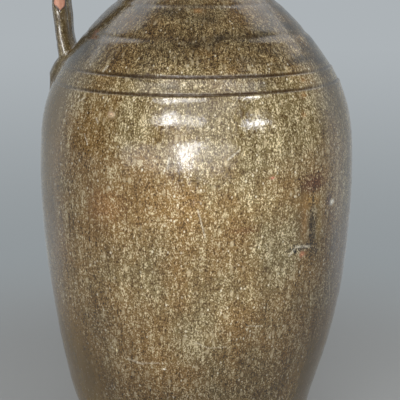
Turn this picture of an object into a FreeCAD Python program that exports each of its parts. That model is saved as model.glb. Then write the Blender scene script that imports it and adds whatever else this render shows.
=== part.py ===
"""Four-gallon stoneware jug: two thrown sections and a neck, pulled strap handle, glaze coats, cork.

Units are millimetres. +Z is up, the origin is the centre of the foot, and the handle stands over -X.
The wall is one chain of tangent arcs. Clay and glaze, inside and out, are that chain at an offset.
"""

import FreeCAD, Part
import math
import os
import Sketcher

START, END, CENTRE = range(1, 4)      # the points of a sketch element
ORIGIN = (-1, START)                  # a sketch's own origin

doc = FreeCAD.newDocument("stoneware_jug")

# ---------------------------------------------------------------- driving sizes
SIZES = [
    # wall, measured on the clay's outer face
    ("belly_radius", 135.2, "widest radius of the clay"),
    ("belly_height", 245.0, "height of the widest point, where the two thrown sections meet"),
    ("lower_wall_radius", 694.0, "arc of the wall below the belly"),
    ("upper_wall_radius", 562.0, "arc of the wall just above the belly"),
    ("upper_wall_lean", 4.0, "lean where that arc ends, degrees"),
    ("shoulder_radius", 117.2, "arc of the shoulder"),
    ("shoulder_lean", 30.7, "lean where the shoulder ends, degrees"),
    ("dome_radius", 231.7, "arc of the dome over the shoulder"),
    ("wall_thickness", 9.0, "clay wall"),
    ("floor_thickness", 12.0, "clay floor"),
    ("floor_fillet", 24.0, "inside corner between wall and floor"),
    ("foot_bevel", 3.0, "bevel round the foot"),
    ("seam_key_width", 3.0, "ridge that keys the two thrown sections together"),
    ("seam_key_height", 3.0, "height of that ridge"),
    # neck and lip
    ("neck_radius", 30.0, "outside of the neck"),
    ("neck_length", 15.0, "straight part of the neck under the lip"),
    ("neck_turn_radius", 12.0, "hollow arc from the dome up to the neck, outside"),
    ("throat_turn_radius", 29.0, "hollow arc from the dome up to the bore, inside"),
    ("lip_roll", 9.0, "section radius of the rolled lip"),
    ("lip_overhang", 7.0, "lip beyond the neck"),
    ("bore_radius", 17.0, "clay bore of the neck"),
    ("rim_round", 4.0, "rounding of the bore's upper edge"),
    # glaze
    ("glaze_thickness", 0.8, "glaze coat, inside and out"),
    ("glaze_line", 13.0, "height where the outer coat stops above the foot"),
    # rings cut with a round-nosed tool, heights above the belly
    ("ring_tool_radius", 2.2, "nose of the tool"),
    ("deep_ring_depth", 1.4, "cut of the pair on the shoulder"),
    ("faint_ring_depth", 0.7, "cut of the two on the dome"),
    ("lower_ring_rise", 85.0, "lower ring of the pair"),
    ("upper_ring_rise", 97.4, "upper ring of the pair"),
    ("dome_ring_rise", 125.5, "faint ring on the dome"),
    ("collar_ring_rise", 150.0, "faint ring below the neck"),
    # strap handle
    ("strap_width", 32.0, "width of the pulled strap"),
    ("strap_thickness", 14.6, "thickness of the pulled strap"),
    ("strap_edge_radius", 5.0, "rounding of the strap's edges"),
    ("strap_landing_rise", 99.0, "where the strap's middle meets the shoulder, above the belly"),
    ("strap_bow", 6.9, "bulge of the upright strap beyond that landing"),
    ("strap_seat_rise", 3.0, "middle of the strap above the foot of the neck"),
    ("strap_climb", 12.0, "climb of the strap away from the neck, degrees"),
    ("strap_corner_radius", 30.0, "short arc that turns it downwards"),
    ("strap_foot_radius", 211.0, "arc of the upright down to the shoulder"),
    ("strap_root_depth", 1.5, "strap's upper end beyond where its edges enter the neck"),
    ("strap_root_drop", 18.0, "strap's lower end below its landing, inside the wall"),
    # wads that the strap is pressed on with: half sizes
    ("lower_wad_drop", 11.0, "middle of the lower wad below the strap's landing"),
    ("lower_wad_length", 21.0, "along the shoulder"),
    ("lower_wad_width", 20.0, "across the strap"),
    ("lower_wad_bulge", 9.5, "out of the shoulder"),
    ("upper_wad_length", 11.0, "along the neck"),
    ("upper_wad_width", 19.0, "across the strap"),
    ("upper_wad_bulge", 12.0, "out of the neck"),
    # cork
    ("cork_depth", 22.0, "cork below the lip's top"),
    ("cork_stand", 16.0, "cork above the lip's top"),
    ("cork_taper", 3.0, "half angle of the cork's cone, degrees"),
    ("cork_clearance", 0.3, "gap between cork and glazed bore where they are closest"),
    ("cork_chamfer", 1.5, "chamfer of the cork's ends"),
]

sheet = doc.addObject("Spreadsheet::Sheet", "Sizes")
for row, (alias, number, meaning) in enumerate(SIZES, start=1):
    sheet.set(f"A{row}", alias)
    sheet.set(f"B{row}", str(number))
    sheet.set(f"C{row}", meaning)
    sheet.setAlias(f"B{row}", alias)
doc.recompute()


class Amount:
    """A number with the spreadsheet expression that gives it: one formula draws and binds."""

    def __init__(self, number, text):
        self.number, self.text = number, text

    def __add__(self, other):
        return Amount(self.number + amount(other).number, f"({self.text} + {amount(other).text})")

    def __sub__(self, other):
        return Amount(self.number - amount(other).number, f"({self.text} - {amount(other).text})")

    def __mul__(self, other):
        return Amount(self.number * amount(other).number, f"({self.text} * {amount(other).text})")

    def __truediv__(self, other):
        return Amount(self.number / amount(other).number, f"({self.text} / {amount(other).text})")


def amount(value):
    return value if isinstance(value, Amount) else Amount(float(value), str(value))


def size(alias):
    return Amount(float(sheet.get(alias)), f"Sizes.{alias}")


def sine(angle):
    return Amount(math.sin(math.radians(angle.number)), f"sin({angle.text})")


def cosine(angle):
    return Amount(math.cos(math.radians(angle.number)), f"cos({angle.text})")


def tangent(angle):
    return Amount(math.tan(math.radians(angle.number)), f"tan({angle.text})")


def arcsine(ratio):
    return Amount(math.degrees(math.asin(ratio.number)), f"asin({ratio.text})")


def root(square):
    return Amount(math.sqrt(square.number), f"sqrt({square.text})")


# ---------------------------------------------------------------- the wall's form
class WallArc:
    """One arc of the clay's outer face, between two leans (degrees from upright)."""

    def __init__(self, x, z, radius, lean_from, lean_to):
        self.x, self.z, self.radius = x, z, radius
        self.lean_from, self.lean_to = lean_from, lean_to

    def next(self, radius, lean_to):
        """The arc that carries on smoothly from this one."""
        gap = self.radius - radius
        x = self.x + gap * cosine(self.lean_to)
        z = self.z + gap * sine(self.lean_to)
        return WallArc(x, z, radius, self.lean_to, lean_to)

    def top(self):
        """Height of the arc's upper end on the clay's face."""
        return self.z + self.radius * sine(self.lean_to)

    def radius_at(self, height, offset=0):
        """Distance from the jug's axis at a height, at an offset from the clay's face."""
        reach, rise = self.radius + offset, height - self.z
        return self.x + root(reach * reach - rise * rise)


BELLY_Z, GLAZE, WALL_T = size("belly_height"), size("glaze_thickness"), size("wall_thickness")
NONE = amount(0)
LOWER = WallArc(size("belly_radius") - size("lower_wall_radius"), BELLY_Z, size("lower_wall_radius"), NONE, NONE)
UPPER = WallArc(
    size("belly_radius") - size("upper_wall_radius"), BELLY_Z, size("upper_wall_radius"), NONE,
    size("upper_wall_lean"))
SHOULDER = UPPER.next(size("shoulder_radius"), size("shoulder_lean"))
DOME = SHOULDER.next(size("dome_radius"), None)



class Turn:
    """The hollow arc that turns the dome, at an offset of its own, up to an upright face."""

    def __init__(self, face_radius, turn_radius, dome_offset):
        self.face_radius, self.dome_offset = face_radius, dome_offset
        self.reach = DOME.radius + dome_offset + turn_radius
        self.x = face_radius + turn_radius
        self.z = DOME.z + root(self.reach * self.reach - (self.x - DOME.x) * (self.x - DOME.x))

    def meets(self, skin=0):
        """Where a skin over the dome meets the same skin over the turn."""
        share = (DOME.radius + self.dome_offset + skin) / self.reach
        return DOME.x + (self.x - DOME.x) * share, DOME.z + (self.z - DOME.z) * share

    def lean(self):
        return math.degrees(math.atan2((self.z - DOME.z).number, (self.x - DOME.x).number))


NECK_TURN = Turn(size("neck_radius"), size("neck_turn_radius"), NONE)
THROAT_TURN = Turn(size("bore_radius"), size("throat_turn_radius"), NONE - WALL_T)
NECK_FOOT = NECK_TURN.z                                         # where the neck stands upright
LIP_X = size("neck_radius") + size("lip_overhang") - size("lip_roll")
LIP_DROP = root(size("lip_roll") * size("lip_roll") - (size("neck_radius") - LIP_X) * (size("neck_radius") - LIP_X))
LIP_Z = NECK_FOOT + size("neck_length") + LIP_DROP              # middle of the lip's roll
LIP_TOP = LIP_Z + size("lip_roll")


def wall_arc_at(height):
    """The arc above the belly that holds a height."""
    for part in (UPPER, SHOULDER):
        if height.number <= part.top().number:
            return part
    return DOME


# ---------------------------------------------------------------- drawing
def origin_plane(body, role):
    return next(f for f in body.Origin.OriginFeatures if f.Role == role)


def new_body(label):
    body = doc.addObject("PartDesign::Body", label)
    body.Label = label
    return body


class Outline:
    """A sketch on one of a body's own planes, its dimensions bound to the sheet."""

    def __init__(self, body, name, plane="XZ_Plane"):
        self.sketch = body.newObject("Sketcher::SketchObject", name)
        self.sketch.AttachmentSupport = [(origin_plane(body, plane), "")]
        self.sketch.MapMode = "FlatFace"

    def line(self, start, end):
        return self.sketch.addGeometry(Part.LineSegment(FreeCAD.Vector(*start), FreeCAD.Vector(*end)), False)

    def arc(self, x, y, radius, start, end):
        circle = Part.Circle(FreeCAD.Vector(x, y, 0), FreeCAD.Vector(0, 0, 1), radius)
        return self.sketch.addGeometry(Part.ArcOfCircle(circle, math.radians(start), math.radians(end)), False)

    def circle(self, x, y, radius):
        circle = self.sketch.addGeometry(
            Part.Circle(FreeCAD.Vector(x.number, y.number, 0), FreeCAD.Vector(0, 0, 1), radius.number), False)
        self.place(circle, CENTRE, x, y)
        self.fix("Radius", circle, to=radius)
        return circle

    def tie(self, kind, *where):
        return self.sketch.addConstraint(Sketcher.Constraint(kind, *where))

    def fix(self, kind, *where, to):
        number = math.radians(to.number) if kind == "Angle" else to.number
        index = self.sketch.addConstraint(Sketcher.Constraint(kind, *where, number))
        self.sketch.setExpression(f"Constraints[{index}]", to.text)

    def place(self, element, point, x=None, y=None):
        """Coordinates of one point of an element."""
        for kind, to in (("DistanceX", x), ("DistanceY", y)):
            if to is not None:
                self.fix(kind, *ORIGIN, element, point, to=to)

    def at(self, element, point):
        where = self.sketch.getPoint(element, point)
        return where.x, where.y, 0

    def smooth(self, first, first_point, second, second_point):
        self.tie("Tangent", first, first_point, second, second_point)

    def bridge(self, first, first_point, second, second_point):
        """A straight line between two elements' ends."""
        line = self.line(self.at(first, first_point), self.at(second, second_point))
        self.tie("Coincident", line, START, first, first_point)
        self.tie("Coincident", line, END, second, second_point)
        return line

    def to_axis(self, element, point, joint="Coincident"):
        """A level line from an element's end to the jug's axis."""
        x, y, _ = self.at(element, point)
        line = self.line((x, y, 0), (0, y, 0))
        self.tie(joint, line, START, element, point)
        self.tie("Horizontal", line)
        self.tie("PointOnObject", line, END, -2)
        return line

    def rectangle(self, left, bottom, right, top):
        corners = [(left, bottom), (right, bottom), (right, top), (left, top)]
        points = [(x.number, y.number, 0) for x, y in corners]
        sides = [self.line(points[i], points[(i + 1) % 4]) for i in range(4)]
        for i, side in enumerate(sides):
            self.tie("Coincident", side, END, sides[(i + 1) % 4], START)
            self.tie("Vertical" if i % 2 else "Horizontal", side)
        self.place(sides[0], START, left, bottom)
        self.place(sides[2], START, right, top)


def revolve(body, kind, outline, name):
    """A Revolution or Groove of an outline about the jug's axis; a Groove must take clay away."""
    before = body.Shape.Volume if kind == "Groove" else 0
    feature = body.newObject(f"PartDesign::{kind}", name)
    feature.Profile = outline.sketch
    feature.ReferenceAxis = (outline.sketch, ["V_Axis"])
    feature.Angle = 360
    doc.recompute()
    if kind == "Groove" and body.Shape.Volume >= before:
        raise RuntimeError(f"{name} cuts nothing")
    return feature


# ---------------------------------------------------------------- the chain's pieces
def low_arc(outline, offset, bottom=None, above=None):
    """The wall below the belly at an offset; its ends are placed, or joined to what lies beyond."""
    radius = LOWER.radius + offset
    low = bottom if bottom is not None else size("floor_thickness") + size("floor_fillet")
    lean = math.degrees(math.asin((low.number - LOWER.z.number) / radius.number))
    arc = outline.arc(LOWER.x.number, LOWER.z.number, radius.number, lean, 0)
    outline.fix("Radius", arc, to=radius)
    if above is None:
        outline.tie("Horizontal", arc, CENTRE, arc, END)
        outline.place(arc, END, size("belly_radius") + offset, BELLY_Z)
    else:
        outline.smooth(arc, END, above, START)
    if bottom is not None:
        outline.place(arc, START, y=bottom)
    return arc


def upper_arcs(outline, turn, skin):
    """Wall, shoulder and dome under a skin, from the belly to the turn at the neck."""
    arcs = []
    offset = turn.dome_offset + skin
    for part in (UPPER, SHOULDER, DOME):
        radius = part.radius + offset
        lean = turn.lean() if part is DOME else part.lean_to.number
        arc = outline.arc(part.x.number, part.z.number, radius.number, part.lean_from.number, lean)
        outline.fix("Radius", arc, to=radius)
        if arcs:
            outline.smooth(arcs[-1], END, arc, START)
        else:
            outline.tie("Horizontal", arc, CENTRE, arc, START)
            outline.place(arc, START, size("belly_radius") + offset, BELLY_Z)
        if part is DOME:
            outline.place(arc, END, turn.meets(skin)[0])
        else:
            outline.fix("Angle", arc, to=part.lean_to - part.lean_from)
        arcs.append(arc)
    return arcs


def turn_arc(outline, dome, turn, skin):
    """The hollow arc between dome and neck under a skin. It ends on the dome and starts at the neck."""
    radius = turn.x - turn.face_radius - skin
    arc = outline.arc(turn.x.number, turn.z.number, radius.number, 180, 180 + turn.lean())
    outline.smooth(dome, END, arc, END)
    return arc


def lip_faces(outline, dome, skin):
    """Outside of neck and lip under a skin, from the dome to the crown. Returns (turn, roll)."""
    radius, roll_radius = size("neck_radius") + skin, size("lip_roll") + skin
    arc = turn_arc(outline, dome, NECK_TURN, skin)
    across = radius.number - LIP_X.number
    drop = math.sqrt(roll_radius.number**2 - across**2)
    side = outline.line((radius.number, NECK_FOOT.number, 0), (radius.number, LIP_Z.number - drop, 0))
    outline.smooth(arc, START, side, START)
    outline.tie("Vertical", side)
    outline.place(side, START, radius)
    under = -math.degrees(math.atan2(drop, across))
    roll = outline.arc(LIP_X.number, LIP_Z.number, roll_radius.number, under, 90)
    outline.tie("Coincident", side, END, roll, START)
    outline.fix("Radius", roll, to=roll_radius)
    outline.place(roll, CENTRE, LIP_X, LIP_Z)
    outline.tie("Vertical", roll, CENTRE, roll, END)
    return arc, roll


def bore_faces(outline, dome, skin, crown=None):
    """Inside of lip and neck, a skin's thickness proud of the clay. Returns (top line, turn)."""
    rim = size("rim_round")
    top, rim_z, rim_x = LIP_TOP + skin, LIP_TOP - rim, size("bore_radius") + rim
    level = outline.line((LIP_X.number, top.number, 0), (rim_x.number, top.number, 0))
    edge = outline.arc(rim_x.number, rim_z.number, (rim + skin).number, 90, 180)
    outline.place(edge, CENTRE, rim_x, rim_z)
    outline.fix("Radius", edge, to=rim + skin)
    outline.smooth(level, END, edge, START)
    if crown is None:
        outline.tie("Horizontal", level)
        outline.place(level, START, LIP_X)
    else:
        outline.tie("Coincident", level, START, crown, END)
    arc = turn_arc(outline, dome, THROAT_TURN, NONE - skin)
    bore = outline.line(outline.at(edge, END), outline.at(arc, START))
    outline.tie("Vertical", bore)
    outline.smooth(edge, END, bore, START)
    outline.smooth(bore, END, arc, START)
    return level, arc


def floor_faces(outline, low, skin):
    """Inside corner and floor, a skin's thickness proud of the clay, joined to the wall's lower arc."""
    fillet, floor = size("floor_fillet") - skin, size("floor_thickness") + skin
    reach = LOWER.radius - WALL_T - skin - fillet
    lean = math.asin((floor + fillet - LOWER.z).number / reach.number)
    x = LOWER.x.number + reach.number * math.cos(lean)
    corner = outline.arc(x, (floor + fillet).number, fillet.number, 270, 360 + math.degrees(lean))
    outline.fix("Radius", corner, to=fillet)
    outline.smooth(corner, END, low, START)
    level = outline.to_axis(corner, START, joint="Tangent")
    outline.place(level, END, y=floor)
    return level


def key_ring(body, kind, name):
    """The ridge between the thrown sections, or the channel that takes it."""
    outline = Outline(body, f"{name}_outline")
    middle, half = size("belly_radius") - WALL_T / 2, size("seam_key_width") / 2
    outline.rectangle(middle - half, BELLY_Z, middle + half, BELLY_Z + size("seam_key_height"))
    revolve(body, kind, outline, name)


def cut_rings(body, skin):
    """The four turned rings, cut through a surface that lies a skin's thickness over the clay."""
    rings = [("lower_ring_rise", "deep_ring_depth"), ("upper_ring_rise", "deep_ring_depth"),
             ("dome_ring_rise", "faint_ring_depth"), ("collar_ring_rise", "faint_ring_depth")]
    outline = Outline(body, f"{body.Label}_rings")
    for rise, depth in rings:
        height = BELLY_Z + size(rise)
        stand = size("ring_tool_radius") - size(depth)
        outline.circle(wall_arc_at(height).radius_at(height, stand), height, size("ring_tool_radius") - skin)
    revolve(body, "Groove", outline, f"{body.Label}_ring_cuts")


# ---------------------------------------------------------------- thrown clay
def lower_section():
    """Floor and lower wall, thrown in one, with the ridge of the belly seam on its rim."""
    body = new_body("lower_section")
    outline = Outline(body, "lower_section_outline")
    outer = low_arc(outline, NONE, size("foot_bevel"))
    inner = low_arc(outline, NONE - WALL_T)
    floor = floor_faces(outline, inner, NONE)
    outline.bridge(outer, END, inner, END)
    x, y, _ = outline.at(outer, START)
    bevel = outline.line((x, y, 0), (x - size("foot_bevel").number, 0, 0))
    outline.tie("Coincident", bevel, START, outer, START)
    outline.fix("DistanceX", bevel, END, bevel, START, to=size("foot_bevel"))
    foot = outline.to_axis(bevel, END)
    outline.tie("PointOnObject", bevel, END, -1)
    outline.bridge(foot, END, floor, END)
    revolve(body, "Revolution", outline, "lower_section_wall")
    key_ring(body, "Revolution", "seam_ridge")
    return body


def upper_section():
    """Upper wall, shoulder and dome, with the turned rings and the channel of the belly seam."""
    body = new_body("upper_section")
    outline = Outline(body, "upper_section_outline")
    outer = upper_arcs(outline, NECK_TURN, NONE)
    inner = upper_arcs(outline, THROAT_TURN, NONE)
    outline.bridge(outer[0], START, inner[0], START)
    outline.bridge(outer[-1], END, inner[-1], END)
    revolve(body, "Revolution", outline, "upper_section_wall")
    key_ring(body, "Groove", "seam_channel")
    cut_rings(body, NONE)
    return body


def neck():
    """Neck and rolled lip, joined to the dome on a cone across its wall."""
    body = new_body("neck")
    outline = Outline(body, "neck_outline")
    outer, inner = upper_arcs(outline, NECK_TURN, NONE), upper_arcs(outline, THROAT_TURN, NONE)
    for arc in outer + inner:
        outline.sketch.setConstruction(arc, True)
    outside, roll = lip_faces(outline, outer[-1], NONE)
    _, inside = bore_faces(outline, inner[-1], NONE, crown=roll)
    outline.bridge(outside, END, inside, END)
    revolve(body, "Revolution", outline, "neck_wall")
    return body


def solid_form(label, skin, bottom):
    """The jug's outside as a solid, a skin's thickness over the clay: it trims what is put on the wall."""
    body = new_body(label)
    outline = Outline(body, f"{label}_outline")
    above = upper_arcs(outline, NECK_TURN, skin)
    low = low_arc(outline, skin, bottom, above[0])
    _, roll = lip_faces(outline, above[-1], skin)
    inside = outline.line((LIP_X.number, (LIP_TOP + skin).number, 0), (LIP_X.number, LIP_Z.number, 0))
    outline.tie("Coincident", inside, START, roll, END)
    outline.tie("Coincident", inside, END, roll, CENTRE)
    head = outline.to_axis(inside, END)
    foot = outline.to_axis(low, START)
    outline.bridge(head, END, foot, END)
    revolve(body, "Revolution", outline, f"{label}_solid")
    cut_rings(body, skin)
    return body


def cut(label, base, tool):
    piece = doc.addObject("Part::Cut", label)
    piece.Label, piece.Base, piece.Tool = label, base, tool
    doc.recompute()
    return piece


def fuse(label, pieces):
    whole = doc.addObject("Part::MultiFuse", label)
    whole.Label, whole.Shapes = label, pieces
    doc.recompute()
    return whole


# ---------------------------------------------------------------- handle
LANDING_Z = BELLY_Z + size("strap_landing_rise")               # where the strap's middle meets the clay
BOW, FOOT_R, CORNER_R = size("strap_bow"), size("strap_foot_radius"), size("strap_corner_radius")
HALF_WIDTH = size("strap_width") / 2
FLUSH_X = root(size("neck_radius") * size("neck_radius") - HALF_WIDTH * HALF_WIDTH)
STRAP_X = FLUSH_X - size("strap_root_depth")                   # upper end of the strap's path
STRAP_Z = NECK_FOOT + size("strap_seat_rise")
REACH = wall_arc_at(LANDING_Z).radius_at(LANDING_Z) + BOW      # furthest middle of the strap
UPRIGHT_Z = LANDING_Z + root(FOOT_R * BOW * 2 - BOW * BOW)     # height of that furthest point


def top_radius():
    """The long arc that leaves the neck at the strap's climb and runs smoothly into its corner arc."""
    across, rise = REACH - CORNER_R - STRAP_X, STRAP_Z - UPRIGHT_Z
    climb = size("strap_climb")
    square = across * across + rise * rise - CORNER_R * CORNER_R
    return square / ((across * sine(climb) + rise * cosine(climb) - CORNER_R) * 2)


def strap_path(body):
    """Centre line of the strap: over the top, round the corner and down into the shoulder."""
    outline = Outline(body, f"{body.Label}_path")
    top, corner, foot = top_radius().number, CORNER_R.number, FOOT_R.number
    start = 90 - size("strap_climb").number
    first_x = -STRAP_X.number - top * math.cos(math.radians(start))
    first_z = STRAP_Z.number - top * math.sin(math.radians(start))
    second_x = corner - REACH.number
    meet = math.degrees(math.atan2(UPRIGHT_Z.number - first_z, second_x - first_x))
    below = UPRIGHT_Z - LANDING_Z + size("strap_root_drop")
    sweep = math.degrees(math.asin(below.number / foot))
    first = outline.arc(first_x, first_z, top, start, meet)
    second = outline.arc(second_x, UPRIGHT_Z.number, corner, meet, 180)
    third = outline.arc(foot - REACH.number, UPRIGHT_Z.number, foot, 180, 180 + sweep)
    outline.fix("DistanceX", first, START, *ORIGIN, to=STRAP_X)
    outline.place(first, START, y=STRAP_Z)
    outline.fix("Radius", first, to=top_radius())
    outline.smooth(first, END, second, START)
    outline.fix("Radius", second, to=CORNER_R)
    outline.tie("Horizontal", second, CENTRE, second, END)
    outline.fix("DistanceX", second, END, *ORIGIN, to=REACH)
    outline.place(second, END, y=UPRIGHT_Z)
    outline.smooth(second, END, third, START)
    outline.fix("Radius", third, to=FOOT_R)
    outline.place(third, END, y=LANDING_Z - size("strap_root_drop"))
    return outline.sketch


def strap_section(body, skin):
    """The strap's oval section, square to its path's start: crowned faces between rounded edges."""
    outline = Outline(body, f"{body.Label}_section", plane="YZ_Plane")
    edge = size("strap_edge_radius") + skin
    across = HALF_WIDTH + skin - edge
    thick = size("strap_thickness") / 2 + skin - edge
    crown = (across * across - thick * thick) / (thick * 2)
    face = crown + thick + edge
    meet = math.degrees(math.atan2(crown.number, across.number))
    right = outline.arc(across.number, 0, edge.number, -meet, meet)
    upper = outline.arc(0, -crown.number, face.number, meet, 180 - meet)
    left = outline.arc(-across.number, 0, edge.number, 180 - meet, 180 + meet)
    lower = outline.arc(0, crown.number, face.number, 180 + meet, 360 - meet)
    ring = [right, upper, left, lower]
    for i, arc in enumerate(ring):
        outline.smooth(arc, END, ring[(i + 1) % 4], START)
    outline.place(right, CENTRE, across)
    outline.tie("PointOnObject", right, CENTRE, -1)
    outline.tie("Symmetric", left, CENTRE, right, CENTRE, *ORIGIN)
    outline.fix("Radius", right, to=edge)
    outline.tie("Equal", right, left)
    outline.fix("Radius", upper, to=face)
    outline.tie("Equal", upper, lower)
    sketch = outline.sketch
    spin = FreeCAD.Rotation(FreeCAD.Vector(1, 0, 0), size("strap_climb").number)
    sketch.AttachmentOffset = FreeCAD.Placement(FreeCAD.Vector(0, STRAP_Z.number, -STRAP_X.number), spin)
    sketch.setExpression("AttachmentOffset.Base.y", STRAP_Z.text)
    sketch.setExpression("AttachmentOffset.Base.z", f"-{STRAP_X.text}")
    sketch.setExpression("AttachmentOffset.Rotation.Angle", size("strap_climb").text)
    return sketch


def strap(label, skin):
    """The pulled strap, whole, before it is trimmed to the jug."""
    body = new_body(label)
    path, section = strap_path(body), strap_section(body, skin)
    doc.recompute()
    pipe = body.newObject("PartDesign::AdditivePipe", f"{label}_pipe")
    pipe.Profile = section
    pipe.Spine = (path, ["Edge1", "Edge2", "Edge3"])
    pipe.Mode = "Frenet"
    doc.recompute()
    return body


def wad(label, skin, which, x, z, tilt):
    """A pressed lump of clay, an ellipsoid half sunk in the jug, leaning with the wall."""
    lump = doc.addObject("Part::Ellipsoid", label)
    lump.Label = label
    for radius, alias in (("Radius1", "length"), ("Radius2", "bulge"), ("Radius3", "width")):
        lump.setExpression(radius, (size(f"{which}_wad_{alias}") + skin).text)
    lump.Placement = FreeCAD.Placement(FreeCAD.Vector(), FreeCAD.Rotation(FreeCAD.Vector(0, 1, 0), 1))
    lump.setExpression("Placement.Base.x", f"-{x.text}")
    lump.setExpression("Placement.Base.z", z.text)
    lump.setExpression("Placement.Rotation.Angle", tilt.text)
    doc.recompute()
    return lump


def wads(skin, name):
    """The lower and upper wads with a skin's thickness added."""
    low_z = LANDING_Z - size("lower_wad_drop")
    part = wall_arc_at(low_z)
    tilt = arcsine((low_z - part.z) / part.radius)
    lower = wad(f"lower_{name}", skin, "lower", part.radius_at(low_z), low_z, tilt)
    upper = wad(f"upper_{name}", skin, "upper", size("neck_radius"), STRAP_Z, NONE)
    return lower, upper


# ---------------------------------------------------------------- coats and cork
def liner_glaze():
    """The coat over the inside, from the lip's crown down the bore and over the floor."""
    body = new_body("liner_glaze")
    outline = Outline(body, "liner_glaze_outline")
    ends = []
    for skin in (NONE, GLAZE):
        above = upper_arcs(outline, THROAT_TURN, NONE - skin)
        low = low_arc(outline, NONE - WALL_T - skin, above=above[0])
        floor = floor_faces(outline, low, skin)
        level, _ = bore_faces(outline, above[-1], skin)
        ends.append((level, floor))
    (clay_top, clay_floor), (coat_top, coat_floor) = ends
    outline.bridge(clay_top, START, coat_top, START)
    outline.bridge(clay_floor, END, coat_floor, END)
    revolve(body, "Revolution", outline, "liner_glaze_coat")
    return body


def cork_stopper():
    """A tapered cork that is closest to the glazed bore just under the rim's rounding."""
    body = new_body("cork_stopper")
    outline = Outline(body, "cork_outline")
    seat = size("bore_radius") - GLAZE - size("cork_clearance")
    flare = tangent(size("cork_taper"))
    low_z, top_z = LIP_TOP - size("cork_depth"), LIP_TOP + size("cork_stand")
    low_x = seat - (size("cork_depth") - size("rim_round")) * flare
    top_x = seat + (size("cork_stand") + size("rim_round")) * flare
    side = outline.line((low_x.number, low_z.number, 0), (top_x.number, top_z.number, 0))
    outline.place(side, START, low_x, low_z)
    outline.place(side, END, top_x, top_z)
    bottom, top = outline.to_axis(side, START), outline.to_axis(side, END)
    outline.bridge(bottom, END, top, END)
    cone = revolve(body, "Revolution", outline, "cork_cone")
    ends = [f"Edge{i}" for i, edge in enumerate(cone.Shape.Edges, start=1) if edge.Curve.TypeId == "Part::GeomCircle"]
    chamfer = body.newObject("PartDesign::Chamfer", "cork_ends")
    chamfer.Base = (cone, ends)
    chamfer.setExpression("Size", size("cork_chamfer").text)
    doc.recompute()
    return body


def build():
    """Every sub-part, by node name."""
    clay = solid_form("clay_form", NONE, size("foot_bevel"))
    coat = solid_form("coat_form", GLAZE, size("glaze_line"))
    pulled, coated = strap("pulled_strap", NONE), strap("coated_strap", GLAZE)
    lower, upper = wads(NONE, "wad")
    coated_lower, coated_upper = wads(GLAZE, "coated_wad")
    outside = cut("outside_coat", coat, clay)
    handle_clay = fuse("handle_clay", [pulled, lower, upper])
    handle_coat = fuse("handle_coat", [coated, coated_lower, coated_upper])
    off_jug = fuse("jug_and_handle", [coat, handle_clay])
    return [
        lower_section(),
        upper_section(),
        neck(),
        cut("strap_handle", pulled, clay),
        cut("lower_terminal", cut("lower_lump", lower, pulled), clay),
        cut("upper_terminal", cut("upper_lump", upper, pulled), clay),
        cut("outer_glaze", outside, handle_clay),
        cut("handle_glaze", handle_coat, off_jug),
        liner_glaze(),
        cork_stopper(),
    ]


def check(nodes):
    """Stops before anything is written if an object failed or a sub-part isn't sound."""
    for thing in doc.Objects:
        if {"Invalid", "Error"} & set(thing.State):
            raise RuntimeError(f"{thing.Label}: {thing.State}")
        if thing.isDerivedFrom("Sketcher::SketchObject") and not thing.FullyConstrained:
            raise RuntimeError(f"{thing.Label} isn't fully constrained")
    for node in nodes:
        if node.Shape.isNull() or not node.Shape.isValid() or not node.Shape.Solids:
            raise RuntimeError(f"{node.Label} isn't a sound solid")


nodes = build()
doc.recompute()
check(nodes)
os.makedirs("parts", exist_ok=True)
for node in nodes:
    node.Shape.exportStep(f"parts/{node.Label}.step")
    box = node.Shape.BoundBox
    print(f"{node.Label}: {len(node.Shape.Solids)} solid, {node.Shape.Volume:.0f} mm3,"
          f" x {box.XMin:.1f} {box.XMax:.1f}, z {box.ZMin:.1f} {box.ZMax:.1f}")
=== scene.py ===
"""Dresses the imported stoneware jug: glaze coat, bare clay, pulled handle, liner and cork, in frontal light.

Metres, in the frame of the CAD model: +Z is up, the origin is the foot's centre, the handle stands over -X.
Places on the wall are given as (turn, height): turn in degrees round the axis from the side that faces the
camera, positive to the camera's right, and height in metres above the foot.
"""
import math

import bmesh
import bpy
import numpy as np
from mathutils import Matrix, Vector


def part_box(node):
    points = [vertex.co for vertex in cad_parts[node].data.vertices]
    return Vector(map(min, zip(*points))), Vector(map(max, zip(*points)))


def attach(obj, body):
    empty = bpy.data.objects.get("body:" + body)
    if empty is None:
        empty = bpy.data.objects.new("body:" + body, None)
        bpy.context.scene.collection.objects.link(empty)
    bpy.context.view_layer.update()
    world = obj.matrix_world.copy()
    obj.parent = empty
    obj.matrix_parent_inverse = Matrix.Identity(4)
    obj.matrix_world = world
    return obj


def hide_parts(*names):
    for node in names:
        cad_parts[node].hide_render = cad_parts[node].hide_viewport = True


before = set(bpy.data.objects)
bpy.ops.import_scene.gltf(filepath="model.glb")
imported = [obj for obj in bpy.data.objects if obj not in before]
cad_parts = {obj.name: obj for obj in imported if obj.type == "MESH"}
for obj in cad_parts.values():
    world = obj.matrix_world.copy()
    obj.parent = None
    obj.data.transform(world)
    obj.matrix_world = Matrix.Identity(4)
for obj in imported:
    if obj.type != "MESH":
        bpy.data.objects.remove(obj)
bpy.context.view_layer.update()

MM = 0.001
TAU = 2 * math.pi
rng = np.random.default_rng(11)

# ------------------------------ sizes, from the frame
BELLY_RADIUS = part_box("lower_section")[1].x
BELLY_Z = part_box("upper_section")[0].z
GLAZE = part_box("outer_glaze")[1].x - BELLY_RADIUS
GLAZE_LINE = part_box("outer_glaze")[0].z
FLOOR_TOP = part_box("liner_glaze")[0].z
WALL = BELLY_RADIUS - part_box("liner_glaze")[1].x
LIP_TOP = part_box("neck")[1].z
LIP_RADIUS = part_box("neck")[1].x

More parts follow.
